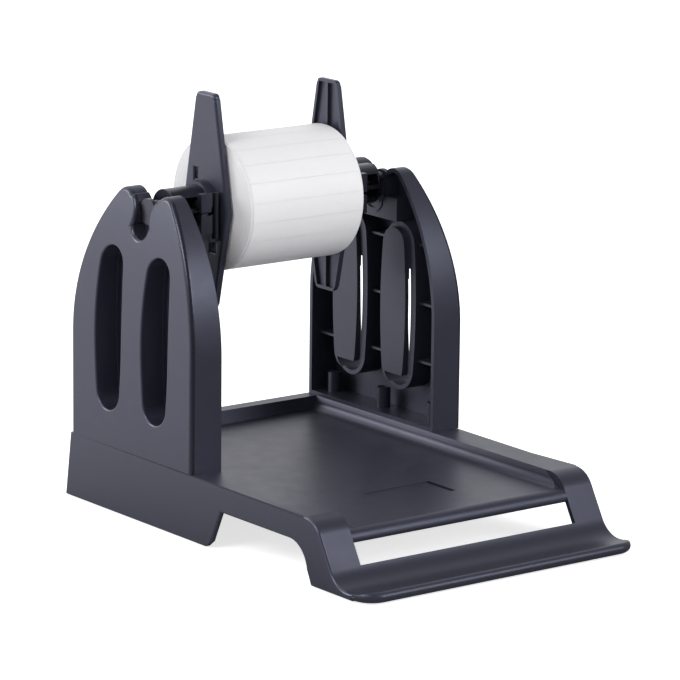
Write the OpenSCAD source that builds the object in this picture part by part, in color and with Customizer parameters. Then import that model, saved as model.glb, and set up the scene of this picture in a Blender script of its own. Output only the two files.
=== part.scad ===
// Label roll holder: a tray on two rails, two uprights with notched tops, and a
// ribbed spindle between them that carries a roll of labels and two guide flanges.
// X runs along the spindle, the exit lip faces -Y, and the stand rests on Z = 0.

/* [Base tray] */
// Width over the side walls
base_w = 200; // [184:1:240]
// Length from the lip to the rear wall
base_l = 300; // [290:1:340]
// Height of the rail tops above the table
rail_top = 40; // [38:0.5:46]
// Width of each rail, which is also the thickness of an upright at its foot
rail_w = 21.5; // [20:0.5:26]
// Wall of the tray moulding
tray_wall = 3; // [2.4:0.1:3.6]
// Depth of the tray floor below the rail tops
floor_drop = 8.1; // [7:0.1:10]
// Radius of the fillet between the rails and the tray floor
floor_fillet = 5.6; // [4:0.1:6.5]
// Length over which that fillet runs out at the front of the tray floor
fillet_run = 14; // [8:0.5:18]
// Lean of the rear wall from foot to top
rear_draft = 5.5; // [2:0.5:8]
// Distance from the lip to the point where the rails turn down
lip_reach = 58; // [54:1:64]
// Radius of the convex bend at the front of the rails
shoulder_r = 16; // [12:1:20]
// Radius of the concave bend behind the lip
trough_r = 18; // [14:1:22]
// Angle of the sloping stretch of the rails
slope_angle = 60; // [52:1:66]
// Height of the bottom of the lip trough
trough_z = 4.8; // [4.4:0.1:6]
// Radius of the rounded front edge of the lip
nose_r = 3.2; // [2.6:0.1:3.6]
// Radius of the lip's corners seen from above
lip_corner_r = 14; // [10:0.5:14.5]
// Distance from the lip to the front edge of the tray floor
floor_reach = 41.5; // [39:0.5:46]
// Radius of the turned-down front edge of the tray floor
floor_nose_r = 6; // [5:0.5:8]
// Height of the lower edge of the side walls between the legs
arch_z = 24; // [20:0.5:26]
// Distance from the lip to the rear edge of the front legs
front_leg_l = 52; // [48:1:58]
// Radius of the bend from the front legs to the arch
arch_r = 17; // [10:1:20]
// Distance from the rear wall to the front edge of the rear legs
rear_leg_l = 150; // [140:1:170]
// Run of the sloping front edge of the rear legs
rear_leg_slope = 11; // [6:1:16]
// Width of the raised rim behind the tray floor
rear_rim = 9; // [7:1:14]
// Size of the shallow panel in the tray floor across the tray
panel_w = 48; // [36:1:60]
// Size of the shallow panel in the tray floor along the tray
panel_l = 25.5; // [18:0.5:36]
// Depth of the shallow panel
panel_depth = 0.8; // [0.4:0.1:1.2]
// Distance from the lip to the middle of the shallow panel
panel_reach = 90.8; // [76:0.1:110]
// Width of the slots at the sides of the panel
panel_slot = 1.4; // [1:0.1:2]

/* [Uprights] */
// Length of an upright along the rail
upright_l = 125; // [112:1:132]
// Distance from the rear wall's foot to the middle of the uprights
upright_back = 69.5; // [69:0.5:76]
// Height of an upright above the rail
upright_h = 156; // [150:1:170]
// Wall of the upright moulding
shell_wall = 2.6; // [2:0.1:3]
// Radius of the bowed front and rear edges
flank_r = 126; // [122:1:140]
// Height at which the front and rear edges start to bow
flank_z = 66; // [60:1:70]
// Distance from the middle to the top of each lobe
lobe_y = 20.5; // [19.5:0.5:22]
// Radius of the lobes on the side of the notch
lobe_in_r = 14; // [13:0.5:14.5]
// Radius of the round bottom of the notch in the outer wall
notch_r = 7.2; // [6.8:0.1:7.8]
// Height of the bottom of the notch above the rail
notch_z = 128.6; // [127:0.1:131]
// Height at which the outer face starts to lean in
lean_z = 60; // [40:1:70]
// Radius of the leaning outer face
lean_r = 433; // [400:1:600]
// Height of the pockets in the outer face
pocket_h = 99; // [80:1:102]
// Width of the pockets
pocket_w = 27; // [22:0.5:28]
// Radius of the round ends of the pockets
pocket_end_r = 11.5; // [9:0.5:12]
// Height of the lower end of the pockets above the rail
pocket_z = 22; // [20:0.5:26]
// Distance from the middle to the centre of each pocket
pocket_y = 24; // [22:0.5:26]
// Width of the slit beside the back of a pocket
slit_w = 5.2; // [3:0.1:6]
// Distance of the slit from the front wall of the pocket
slit_set = 2.2; // [0:0.1:3]
// Height of the upper end of the slit above the rail
slit_top = 96; // [80:1:104]
// Height of the gap under the back of a pocket
pocket_gap = 7; // [4:0.5:10]
// Distance of the back of a pocket from the inner plane
tongue_set = 0.6; // [0.2:0.1:1.2]
// Height by which a raised back stands out of the pocket's floor towards the roll
tongue_rise = 2.6; // [1:0.1:4]
// Distance by which the raised back is smaller than the pocket all round
tongue_inset = 1.2; // [0:0.1:2]
// Distance by which the raised back lies further to the rear than the pocket
tongue_shift = 3.2; // [0:0.1:3.6]
// Thickness of the stiffening ribs
rib_t = 1.5; // [1.2:0.1:2.2]
// Height of the lowest rib above the rail
rib_z = 38.5; // [34:0.5:44]
// Distance between the ribs
rib_pitch = 36; // [30:0.5:37]
// Distance of the ribs' edges from the inner plane
rib_set = 6.5; // [4:0.5:8]
// Width of the bearing block below the notch
block_w = 47; // [40:1:48]
// Height of the bearing block
block_h = 14; // [10:0.5:16]
// Wall beside the channel for the spindle's end discs
channel_wall = 3; // [2:0.1:3.4]

/* [Spindle] */
// Height of the spindle axis above the rail
axis_h = 144; // [143.5:0.1:145]
// Diameter over the ribs, for labels on a 25.4 mm core
spindle_d = 24.8; // [22:0.1:26]
// Gap between the spindle's shoulder and the upright's inner plane
shoulder_gap = 2.5; // [1:0.1:4]
// Half angle of the curved caps on the vertical ribs
cap_angle = 52; // [40:1:60]
// Thickness of the curved caps
cap_t = 2.2; // [1.6:0.1:2.8]
// Thickness of the vertical web
web_t = 2.6; // [2:0.1:3.2]
// Thickness of the horizontal fin
fin_t = 2.4; // [2:0.1:3]
// Thickness of the end plates and the middle plate
plate_t = 2; // [1.6:0.1:3]
// Diameter of the necks that turn in the bushes
neck_d = 10.4; // [9:0.1:10.6]
// Diameter of the end discs
disc_d = 16; // [15:0.1:16.4]
// Thickness of the end discs
disc_t = 2.8; // [2:0.1:3]
// Outer diameter of a neck bush
bush_d = 12.8; // [12.4:0.1:13]
// Length of a neck bush
bush_l = 4.4; // [3:0.1:4.6]
// Running clearance between a neck and its bush
bush_fit = 0.06; // [0.04:0.01:0.1]
// Clearance between a bush and the cradle
cradle_fit = 0.1; // [0.05:0.01:0.2]

/* [Guide flanges] */
// Height of a flange above the axis
flange_up = 67; // [56:0.5:72]
// Depth of a flange below the axis
flange_down = 62; // [50:0.5:68]
// Distance of the flange's widest point below the axis
flange_corner = 2.6; // [0:0.1:5]
// Width of a flange at the spindle
flange_w = 45; // [42:1:60]
// Width of a flange at its ends
flange_tip_w = 19; // [16:1:30]
// Radius of the corners at the tips
flange_tip_r = 3; // [2:0.5:5]
// Depth of a flange over its rim
flange_t = 4.2; // [3.6:0.1:6]
// Thickness of the flange's plate
flange_plate = 2.2; // [1.6:0.1:2.6]
// Width of the flange's rim and of its middle rib
flange_rim = 2; // [1.6:0.1:3]
// Clearance between the flange and the spindle
flange_fit = 0.25; // [0.1:0.05:0.4]
// Wall of the hub on the outer face
hub_wall = 2.3; // [1.8:0.1:3]
// Height of the hub above the outer face
hub_l = 6; // [5:0.1:8]
// Distance from the axis to the flat lower end of the hub
hub_drop = 19.5; // [19:0.1:21]
// Distance of the see-through slots from the flange's middle
vent_y = 8.6; // [7.5:0.1:10]
// Width of the see-through slots beside the hub
vent_w = 4.5; // [2.4:0.1:5]
// Height of the see-through slots beside the hub
vent_h = 6.4; // [5:0.1:9]

/* [Flange lock] */
// Width of the two square pads along the spindle
pad_l = 7.4; // [5:0.1:9]
// Height of each square pad
pad_h = 11.2; // [9:0.1:11.6]
// Gap between the two pads
pad_gap = 2; // [1.4:0.1:2.4]
// Distance of the gap below the axis
pad_shift = 2; // [1.4:0.1:2.4]
// Height of the tongue behind each pad
tongue_h = 3.6; // [3:0.1:4]
// Distance from the axis to the tips of the tongues
tongue_y = 7.2; // [7:0.1:8]
// Diameter of the upright rod that joins the pads
rod_d = 3.4; // [3.2:0.1:3.8]
// Distance of the arms' front behind the pads' front
arm_set = 1.6; // [0.8:0.1:1.8]
// Travel of the lock when it is pressed
press_travel = 1.5; // [1:0.1:2]
// Clearance round the lock
lock_fit = 0.3; // [0.2:0.05:0.4]
// Outer diameter of the return spring
spring_d = 3.6; // [3:0.1:3.8]
// Wire of the return spring
spring_wire = 0.5; // [0.4:0.05:0.6]
// Turns of the return spring
spring_turns = 7; // [5:1:9]

/* [Label roll] */
// Width of the labels' backing
roll_w = 83; // [40:1:84]
// Diameter of the roll
roll_d = 80; // [40:1:110]
// Length of the core
core_l = 85; // [84:1:90]
// Bore of the core
core_bore = 25.4; // [25.2:0.1:27]
// Wall of the core
core_wall = 2.5; // [1.5:0.1:4]

/* [Screws and feet] */
// Length of the screws under their heads
screw_l = 14; // [12:0.5:16]
// Diameter of the screws' shanks
screw_d = 2.9; // [2.6:0.1:3.2]
// Diameter of the screws' heads
head_d = 6.4; // [5.6:0.1:7]
// Height of the screws' heads
head_h = 2.2; // [1.8:0.1:2.6]
// Depth of the screw bosses under the rails
rail_boss_h = 7; // [5:0.5:8]
// Height of the screw bosses in the uprights
boss_h = 15; // [14:0.5:17]
// Diameter of all screw bosses
boss_d = 8.6; // [8:0.1:9.4]
// Distance between neighbouring screws of an upright
screw_pitch = 50; // [46:0.5:51]
// Diameter of the feet
foot_d = 11; // [8:0.5:12]
// Thickness of the feet
foot_t = 2; // [1.6:0.1:2.4]
// Height of the feet below the moulding
foot_proud = 0.8; // [0.4:0.1:1]

/* [Hidden] */
$fn = 96;

black_plastic = [0.17, 0.17, 0.2];
dark_plastic = [0.12, 0.12, 0.14];
lock_plastic = [0.34, 0.34, 0.37];

half_w = base_w / 2;
rear_y = base_l / 2;
front_y = -base_l / 2;
inner_x = half_w - rail_w;
mid_x = half_w - rail_w / 2;
floor_z = rail_top - floor_drop;
foot_z = foot_proud;
rail_end_y = front_y + lip_reach;
panel_y = front_y + panel_reach;
rear_top_y = rear_y - rear_draft;
eps = 0.02;

// The spindle's axis is the middle of the uprights
axis_y = rear_y - upright_back;
axis_z = rail_top + axis_h;
upright_half = upright_l / 2;

// Points of an arc from angle a to angle b
function arc(cy, cz, r, a, b, n = 16) =
    [for (i = [0:n]) [cy + r * cos(a + (b - a) * i / n), cz + r * sin(a + (b - a) * i / n)]];

// Top line of the rails from the rear to the lip, moved down by d
function rail_line(d) =
    let (sy = rail_end_y,
         sz = rail_top,
         ey = sy - shoulder_r * sin(slope_angle),
         ez = sz - shoulder_r * (1 - cos(slope_angle)),
         tz = trough_z + trough_r * (1 - cos(slope_angle)),
         ty = ey - (ez - tz) / tan(slope_angle),
         by = ty - trough_r * sin(slope_angle))
    concat(arc(sy, sz - shoulder_r, shoulder_r - d, 90, 90 + slope_angle),
           arc(by, trough_z + trough_r, trough_r + d, -90 + slope_angle, -90));

slope_end = rail_line(0)[17];
trough_y = rail_line(0)[33][0];
crest_run = trough_y - front_y - nose_r;
crest_rise = nose_r * 2 + foot_z - trough_z;
crest_r = (pow(crest_run, 2) + pow(crest_rise, 2)) / (2 * crest_rise);

// Along X: a shape drawn in Y and Z
module along_x(from, to) {
    translate([from, 0, 0])
        rotate([90, 0, 90])
            linear_extrude(to - from)
                children();
}

// Along Y: a shape drawn in X and Z
module along_y(from, to) {
    translate([0, to, 0])
        rotate([90, 0, 0])
            linear_extrude(to - from)
                children();
}

// Outline of the side walls with the legs and the arch between them
module side_outline() {
    polygon(concat(
        [[rear_y, foot_z], [rear_top_y, rail_top]],
        rail_line(0),
        arc(trough_y, trough_z + crest_r, crest_r, -90, -90 - asin(crest_run / crest_r), 8),
        arc(front_y + nose_r, foot_z + nose_r, nose_r, 90, 270, 12),
        [[front_y + front_leg_l, foot_z]],
        arc(front_y + front_leg_l + 4 + arch_r, arch_z - arch_r, arch_r, 172, 90, 10),
        [[rear_y - rear_leg_l - rear_leg_slope, arch_z]],
        [[rear_y - rear_leg_l - 2, foot_z + 4]],
        [[rear_y - rear_leg_l + 3, foot_z]]));
}

// Skin of the rails and of the lip, one wall thick
module skin_outline(back_y) {
    difference() {
        intersection() {
            side_outline();
            translate([front_y, 0])
                square([back_y - front_y, rail_top]);
        }
        polygon(concat(
            [[rear_y + 1, -1], [rear_y + 1, rail_top - tray_wall]],
            rail_line(tray_wall),
            [[trough_y, -1]]));
    }
}

// Outline of one side of the tray recess across the tray, as a shell
module recess_outline() {
    cx = inner_x - 0.8 - floor_fillet;
    cz = floor_z + floor_fillet;
    polygon(concat(
        [[0, floor_z]],
        arc(cx, cz, floor_fillet, -90, 0, 10),
        [[inner_x, rail_top], [inner_x + tray_wall, rail_top]],
        arc(cx, cz, floor_fillet + tray_wall, 0, -90, 10),
        [[0, floor_z - tray_wall]]));
}

// Turned-down front edge of the tray floor
module floor_nose_outline() {
    cy = front_y + floor_reach + floor_nose_r;
    cz = floor_z - floor_nose_r;
    polygon(concat(
        arc(cy, cz, floor_nose_r, 90, 180, 12),
        arc(cy - floor_nose_r + tray_wall / 2, cz, tray_wall / 2, 180, 360, 8),
        arc(cy, cz, floor_nose_r - tray_wall, 180, 90, 12)));
}

// Half of the section of the lip's corner, with the round nose at its edge
module lip_corner_outline() {
    inner = lip_corner_r - nose_r;
    polygon(concat([[0, -1], [inner, -1]],
                   arc(inner, foot_z + nose_r, nose_r, -90, 90, 12),
                   [[inner, rail_top], [0, rail_top]]));
}

module at_screws() {
    for (i = [-1:1])
        translate([mid_x, axis_y + i * screw_pitch, 0])
            children();
}

rear_foot_y = rear_y - 16;
front_foot_y = trough_y - 1;

module base_half() {
    floor_front = front_y + floor_reach + floor_nose_r;
    // Side wall
    along_x(half_w - tray_wall, half_w)
        side_outline();
    // Rail skin
    along_x(inner_x, half_w)
        skin_outline(rear_top_y);
    // Recess wall and floor, under the line of the rails and with the fillet run out
    difference() {
        intersection() {
            along_y(floor_front, rear_top_y - tray_wall)
                recess_outline();
            along_x(-1, half_w)
                side_outline();
        }
        along_x(-1, inner_x)
            polygon([[floor_front - 1, floor_z + 0.05], [floor_front, floor_z + 0.05],
                     [floor_front + fillet_run, rail_top + 0.05], [floor_front - 1, rail_top + 0.05]]);
    }
    along_x(0, inner_x)
        floor_nose_outline();
    // Short stretch of the recess wall beside the turned-down edge
    along_x(inner_x, inner_x + tray_wall)
        intersection() {
            side_outline();
            translate([front_y + floor_reach, floor_z - floor_nose_r])
                square([floor_nose_r + eps, rail_top]);
        }
    // Lip bar
    along_x(0, inner_x)
        intersection() {
            skin_outline(rear_top_y);
            translate([front_y, 0])
                square([slope_end[0] - front_y, rail_top]);
        }
    // Rear wall and its rim
    along_x(0, half_w)
        polygon([[rear_y, foot_z], [rear_top_y, rail_top], [rear_top_y - tray_wall, rail_top],
                 [rear_y - tray_wall, foot_z]]);
    along_x(0, inner_x + tray_wall)
        polygon([[rear_top_y, rail_top], [rear_top_y - rear_rim, rail_top],
                 [rear_top_y - rear_rim - 2, floor_z], [rear_top_y - rear_rim - 2, floor_z - tray_wall],
                 [rear_top_y, floor_z - tray_wall]]);
    // Stiffening ribs under the floor
    for (i = [0:3])
        translate([0, front_y + floor_reach + 40 + i * 50, arch_z + 0.5])
            cube([half_w - 1, 1.8, floor_z - tray_wall - arch_z]);
    translate([inner_x / 2, front_y + floor_reach + 8, arch_z + 0.5])
        cube([1.8, base_l - floor_reach - rear_draft - 14, floor_z - tray_wall - arch_z]);
    // Bosses for the upright's screws
    at_screws()
        translate([0, 0, rail_top - rail_boss_h])
            cylinder(d = boss_d, h = rail_boss_h - 1);
    // Sole and post that carry the feet
    translate([mid_x - foot_d / 2 - 2, rear_foot_y - foot_d / 2 - 2, foot_z])
        cube([rail_w / 2 + foot_d / 2 + 1, rear_y - rear_foot_y + foot_d / 2 + 0.5, tray_wall]);
    intersection() {
        translate([mid_x, front_foot_y, foot_z])
            cylinder(d = foot_d + 3, h = rail_top);
        along_x(inner_x, half_w)
            side_outline();
    }
}

module base_tray() {
    color(black_plastic)
    difference() {
        union() {
            base_half();
            mirror([1, 0, 0])
                base_half();
        }
        for (s = [-1, 1])
            scale([s, 1, 1]) {
                at_screws()
                    translate([0, 0, rail_top - rail_boss_h - 1])
                        cylinder(d = screw_d + 0.5, h = rail_boss_h + 2);
                for (y = [rear_foot_y, front_foot_y])
                    translate([mid_x, y, 0])
                        cylinder(d = foot_d, h = foot_t);
                translate([panel_w / 2 - panel_slot / 2, panel_y - panel_l / 2, floor_z - tray_wall - 1])
                    cube([panel_slot, panel_l, tray_wall + 2]);
            }
        translate([-panel_w / 2, panel_y - panel_l / 2, floor_z - panel_depth])
            cube([panel_w, panel_l, panel_depth + 1]);
        // Rounded corners of the lip
        for (s = [-1, 1])
            translate([s * (half_w - lip_corner_r), front_y + lip_corner_r, 0])
                difference() {
                    translate([s > 0 ? 0 : -lip_corner_r - 1, -lip_corner_r - 1, 0])
                        cube([lip_corner_r + 1, lip_corner_r + 1, rail_top - 1]);
                    rotate_extrude()
                        lip_corner_outline();
                }
    }
}

// Radius and height of the lobes' tops, where the bowed flank meets them smoothly
flank_cy = upright_half - flank_r;
lobe_dy = lobe_y - flank_cy;
lobe_dz = upright_h - flank_z;
lobe_r = (pow(flank_r, 2) - pow(lobe_dy, 2) - pow(lobe_dz, 2)) / (2 * (flank_r - lobe_dz));
lobe_z = upright_h - lobe_r;
lobe_in_z = upright_h - lobe_in_r;

// Height at which the bowed flank, moved in by i, meets the lobe
function flank_end_z(i) = lobe_z + (lobe_r - i) * (lobe_z - flank_z) / (flank_r - lobe_r);
keyhole_z = notch_z + notch_r;

// Outline of an upright above the rail, with its walls moved in by i
module upright_outline(i) {
    difference() {
        union() {
            intersection() {
                translate([-upright_half + i, i])
                    square([upright_l - 2 * i, flank_end_z(i) - i]);
                union() {
                    translate([-upright_half, 0])
                        square([upright_l, flank_z]);
                    intersection() {
                        translate([flank_cy, flank_z])
                            circle(r = flank_r - i, $fn = 240);
                        translate([-flank_cy, flank_z])
                            circle(r = flank_r - i, $fn = 240);
                    }
                }
            }
            for (s = [-1, 1])
                translate([s * lobe_y, lobe_z])
                    circle(r = lobe_r - i);
        }
        translate([0, keyhole_z])
            circle(r = notch_r + i);
        difference() {
            translate([-lobe_y, keyhole_z])
                square([2 * lobe_y, upright_h]);
            for (s = [-1, 1])
                translate([s * lobe_y, lobe_in_z])
                    circle(r = lobe_in_r - i);
        }
    }
}

// Section of an upright across the rail, with its outer face moved in by i
module lean_outline(i) {
    translate([inner_x - 1, -1])
        square([rail_w + 1 - i, lean_z + 1]);
    intersection() {
        translate([inner_x - 1, 0])
            square([rail_w + 1, upright_h + 1]);
        translate([half_w - lean_r, lean_z])
            circle(r = lean_r - i, $fn = 720);
    }
}

module upright_form(i, from) {
    intersection() {
        translate([0, axis_y, rail_top])
            along_x(from, half_w + 1)
                upright_outline(i);
        translate([0, 0, rail_top])
            along_y(axis_y - upright_l, axis_y + upright_l)
                lean_outline(i);
    }
}

// Outline of a pocket: two round ends and bowed sides, grown by g
module pocket_outline(g) {
    half_h = pocket_h / 2 - pocket_end_r;
    bulge = pocket_w / 2 - pocket_end_r;
    side_r = pocket_end_r + (pow(half_h, 2) + pow(bulge, 2)) / (2 * bulge);
    tangent_z = half_h * side_r / (side_r - pocket_end_r);
    side_off = side_r - pocket_w / 2;
    for (s = [-1, 1])
        translate([0, s * half_h])
            circle(r = pocket_end_r + g);
    intersection() {
        translate([-side_off, 0])
            circle(r = side_r + g, $fn = 720);
        translate([side_off, 0])
            circle(r = side_r + g, $fn = 720);
        translate([-pocket_w, -tangent_z])
            square([2 * pocket_w, 2 * tangent_z]);
    }
}

module at_pockets() {
    for (s = [-1, 1])
        translate([0, axis_y + s * pocket_y, rail_top + pocket_z + pocket_h / 2])
            children();
}

cradle_r = bush_d / 2 + cradle_fit;
cradle_from = inner_x + 1;
cradle_to = inner_x + 1 + bush_l + 0.6;
disc_from = cradle_to + 0.5;
channel_to = disc_from + disc_t + 0.5;
channel_r = disc_d / 2 + 0.6;

// Slot for a round part on the axis that lifts straight out
module axis_slot(r, from, to) {
    translate([0, axis_y, axis_z])
        along_x(from, to) {
            circle(r = r);
            translate([-r, 0])
                square([2 * r, upright_h]);
        }
}

module upright() {
    tongue_x = inner_x + tongue_set;
    ledge_x = tongue_x + tongue_rise;
    color(black_plastic)
    difference() {
        union() {
            // Shell, open towards the roll
            difference() {
                upright_form(0, inner_x);
                upright_form(shell_wall, inner_x - 1);
            }
            // Ribs, pocket walls and bearing block, inside the shell's form
            intersection() {
                upright_form(0, inner_x);
                union() {
                    for (i = [0:2])
                        translate([inner_x + rib_set, axis_y - upright_half, rail_top + rib_z + i * rib_pitch])
                            cube([rail_w, upright_l, rib_t]);
                    at_pockets() {
                        along_x(ledge_x, half_w)
                            pocket_outline(shell_wall);
                        along_x(tongue_x, ledge_x + shell_wall)
                            translate([tongue_shift, 0])
                                pocket_outline(-tongue_inset);
                    }
                    translate([tongue_x, axis_y - block_w / 2, axis_z - cradle_r - block_h])
                        cube([rail_w, block_w, block_h]);
                    translate([cradle_from + 1, axis_y - channel_r - channel_wall, axis_z - cradle_r - block_h])
                        cube([rail_w, 2 * (channel_r + channel_wall), upright_h]);
                    at_screws()
                        translate([0, 0, rail_top])
                            cylinder(d = boss_d, h = boss_h);
                }
            }
            // Seat of the cradle across the notch
            translate([cradle_from, axis_y - notch_r - 1, rail_top + notch_z - 1])
                cube([cradle_to - cradle_from, 2 * notch_r + 2, axis_h - notch_z - 2]);
        }
        axis_slot(cradle_r, inner_x - 1, cradle_to + eps);
        axis_slot(channel_r, cradle_to, channel_to);
        at_pockets() {
            along_x(ledge_x + shell_wall, half_w + 1)
                pocket_outline(0);
            along_x(tongue_x + shell_wall, ledge_x + shell_wall + eps)
                translate([tongue_shift, 0])
                    pocket_outline(-tongue_inset - shell_wall);
            // Slit beside the raised back
            along_x(tongue_x + shell_wall, ledge_x + shell_wall + eps)
                intersection() {
                    pocket_outline(-slit_set);
                    translate([-pocket_w / 2, -pocket_h / 2])
                        square([slit_set + slit_w, slit_top - pocket_z]);
                }
            // Gap below the back
            along_x(inner_x - 1, ledge_x + shell_wall + eps)
                intersection() {
                    pocket_outline(0);
                    translate([-pocket_w, -pocket_h / 2])
                        square([2 * pocket_w, pocket_gap]);
                }
        }
        at_screws()
            translate([0, 0, rail_top - 1])
                cylinder(d = screw_d + 0.1, h = boss_h);
    }
}

module upright_screws() {
    color("silver")
    at_screws()
        translate([0, 0, rail_top - rail_boss_h]) {
            cylinder(d = screw_d, h = screw_l);
            translate([0, 0, -head_h])
                difference() {
                    cylinder(d = head_d, h = head_h);
                    translate([0, 0, -1])
                        for (a = [0, 90])
                            rotate(a)
                                translate([-2, -0.4, 0])
                                    cube([4, 0.8, 2.2]);
                }
        }
}

module foot(y) {
    color([0.08, 0.08, 0.08])
    translate([mid_x, y, 0])
        cylinder(d = foot_d - 0.2, h = foot_t);
}

module bush() {
    color([0.75, 0.75, 0.72])
    translate([cradle_from + 0.3, axis_y, axis_z])
        rotate([0, 90, 0])
            difference() {
                cylinder(d = bush_d, h = bush_l);
                translate([0, 0, -1])
                    cylinder(d = neck_d + 2 * bush_fit, h = bush_l + 2);
            }
}

spindle_half = inner_x - shoulder_gap;

// Section of the spindle: web, fin and curved caps
module spindle_outline() {
    r = spindle_d / 2;
    intersection() {
        circle(r = r);
        union() {
            square([web_t, spindle_d], center = true);
            square([spindle_d, fin_t], center = true);
        }
    }
    intersection() {
        difference() {
            circle(r = r);
            circle(r = r - cap_t);
        }
        for (s = [-1, 1])
            polygon([[0, 0], [spindle_d * sin(cap_angle), s * spindle_d * cos(cap_angle)],
                     [0, 2 * s * spindle_d], [-spindle_d * sin(cap_angle), s * spindle_d * cos(cap_angle)]]);
    }
}

module spindle() {
    color(dark_plastic)
    translate([0, axis_y, axis_z]) {
        along_x(-spindle_half, spindle_half)
            spindle_outline();
        for (x = [-spindle_half, -plate_t / 2, spindle_half - plate_t])
            along_x(x, x + plate_t)
                circle(d = spindle_d);
        rotate([0, 90, 0])
            cylinder(d = neck_d, h = 2 * disc_from, center = true);
        for (s = [-1, 1])
            translate([s * (disc_from + disc_t / 2), 0, 0])
                rotate([0, 90, 0])
                    cylinder(d = disc_d, h = disc_t, center = true);
    }
}

flange_in = core_l / 2 + 0.3;
flange_out = flange_in + flange_t;
bore_r = spindle_d / 2 + flange_fit;
hub_r = bore_r + hub_wall;

// Long six-sided outline of a flange, moved in by i
module flange_outline(i) {
    tip = flange_tip_w / 2;
    mid = flange_w / 2;
    up_slope = (mid - tip) / (flange_up + flange_corner);
    down_slope = (mid - tip) / (flange_down - flange_corner);
    up_set = i * norm([1, up_slope]);
    down_set = i * norm([1, down_slope]);
    up_tip = tip - up_set + i * up_slope;
    down_tip = tip - down_set + i * down_slope;
    bend = (down_set - up_set) / (up_slope + down_slope);
    intersection() {
        polygon([[up_tip, flange_up - i], [-up_tip, flange_up - i],
                 [up_slope * bend + up_set - mid, bend - flange_corner],
                 [-down_tip, i - flange_down], [down_tip, i - flange_down],
                 [mid - up_slope * bend - up_set, bend - flange_corner]]);
        union() {
            translate([-mid, flange_tip_r - flange_down])
                square([flange_w, flange_up + flange_down - 2 * flange_tip_r]);
            translate([flange_tip_r - tip, -flange_down])
                square([flange_tip_w - 2 * flange_tip_r, flange_up + flange_down]);
            for (y = [-1, 1])
                for (z = [flange_up - flange_tip_r, flange_tip_r - flange_down])
                    translate([y * (tip - flange_tip_r), z])
                        circle(r = flange_tip_r);
        }
    }
}

// Round-topped outline of the hub, grown by g
module hub_outline(g) {
    r = hub_r + g;
    circle(r = r);
    translate([-r, -hub_drop - g])
        square([2 * r, hub_drop + g]);
}

// Places of the lock's rod, pads and spring, from the axis
rod_x = flange_out + spring_d / 2 + 1;
rod_y = -spindle_d / 2 - press_travel - 0.3 - rod_d / 2;
pad_x = flange_out + hub_l + 0.8;
pad_y = -hub_r - 2.2;
pad_rear = -spindle_d / 2 - press_travel - 0.4;
pad_up = pad_h + pad_gap / 2 - pad_shift;
pad_low = pad_h + pad_gap / 2 + pad_shift;
arm_gap = fin_t / 2 + 0.4;
spring_z = -hub_drop + hub_wall + spring_d / 2 + 0.1;
spring_from = -hub_r + 2.8;
spring_to = hub_r - hub_wall - 0.4;
vent_top_z = sqrt(pow(hub_r, 2) - pow(vent_y - vent_w / 2, 2)) + 0.9;

module flange() {
    color(black_plastic)
    translate([0, axis_y, axis_z])
        difference() {
            union() {
                along_x(flange_out - flange_plate, flange_out)
                    flange_outline(0);
                along_x(flange_in, flange_out)
                    difference() {
                        flange_outline(0);
                        flange_outline(flange_rim);
                    }
                translate([flange_in, -flange_rim / 2, 1 - flange_down])
                    cube([flange_t, flange_rim, flange_up + flange_down - 2]);
                along_x(flange_in, flange_out)
                    circle(r = hub_r);
                along_x(flange_out - eps, flange_out + hub_l)
                    hub_outline(0);
            }
            along_x(flange_in - 1, flange_out + hub_l + 1)
                circle(r = bore_r);
            // Chamber for the return spring
            translate([flange_out - eps, spring_from - 1, spring_z - spring_d / 2 - 0.15])
                cube([hub_l - hub_wall / 2, spring_to - spring_from + 1.3, spring_d + 0.3]);
            // Slot for the lock's rod and arms in the front of the hub
            translate([rod_x - rod_d / 2 - lock_fit, -hub_r - 1, -hub_drop + hub_wall - 0.5])
                cube([rod_d + 2 * lock_fit, hub_wall + 2.2, 2 * hub_drop - 8]);
            translate([rod_x, -hub_r - 1, -pad_low - lock_fit])
                cube([hub_l + 1, hub_wall + 2.2, pad_up + pad_low + 2 * lock_fit]);
            // See-through slots above and below the hub
            for (s = [-1, 1])
                translate([flange_in - 1, s * vent_y - vent_w / 2, s > 0 ? vent_top_z : -hub_drop - 1.3 - vent_h])
                    cube([flange_t + 2, vent_w, vent_h]);
        }
}

// Lock: a rod in the hub's front and two square pads with tongues between the spindle's ribs
module lock() {
    color(lock_plastic)
    translate([0, axis_y, axis_z]) {
        translate([rod_x, rod_y, -hub_drop + hub_wall])
            cylinder(d = rod_d, h = hub_drop - hub_wall + pad_up);
        for (z = [-pad_low, pad_up - pad_h])
            translate([pad_x, pad_y, z])
                cube([pad_l, pad_rear - pad_y, pad_h]);
        for (z = [[-pad_low, -pad_low + pad_h], [arm_gap, pad_up]]) {
            // Arm and block behind the pad, clear of the spindle's fin
            translate([rod_x, pad_y + arm_set, z[0]])
                cube([pad_x - rod_x + 1, pad_rear - pad_y - arm_set, z[1] - z[0]]);
            translate([pad_x, pad_y + arm_set, z[0]])
                cube([pad_l, -spindle_d / 2 - 0.4 - pad_y - arm_set, z[1] - z[0]]);
        }
        for (z = [-arm_gap - 0.2 - tongue_h, arm_gap + 0.2])
            translate([pad_x + 1.5, pad_y + arm_set, z])
                cube([pad_l - 3, -tongue_y - pad_y - arm_set, tongue_h]);
        // Finger that pushes the return spring
        translate([rod_x - 1.6, rod_y, spring_z - spring_d / 2])
            cube([3.2, spring_from - rod_y, spring_d]);
    }
}

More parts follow.
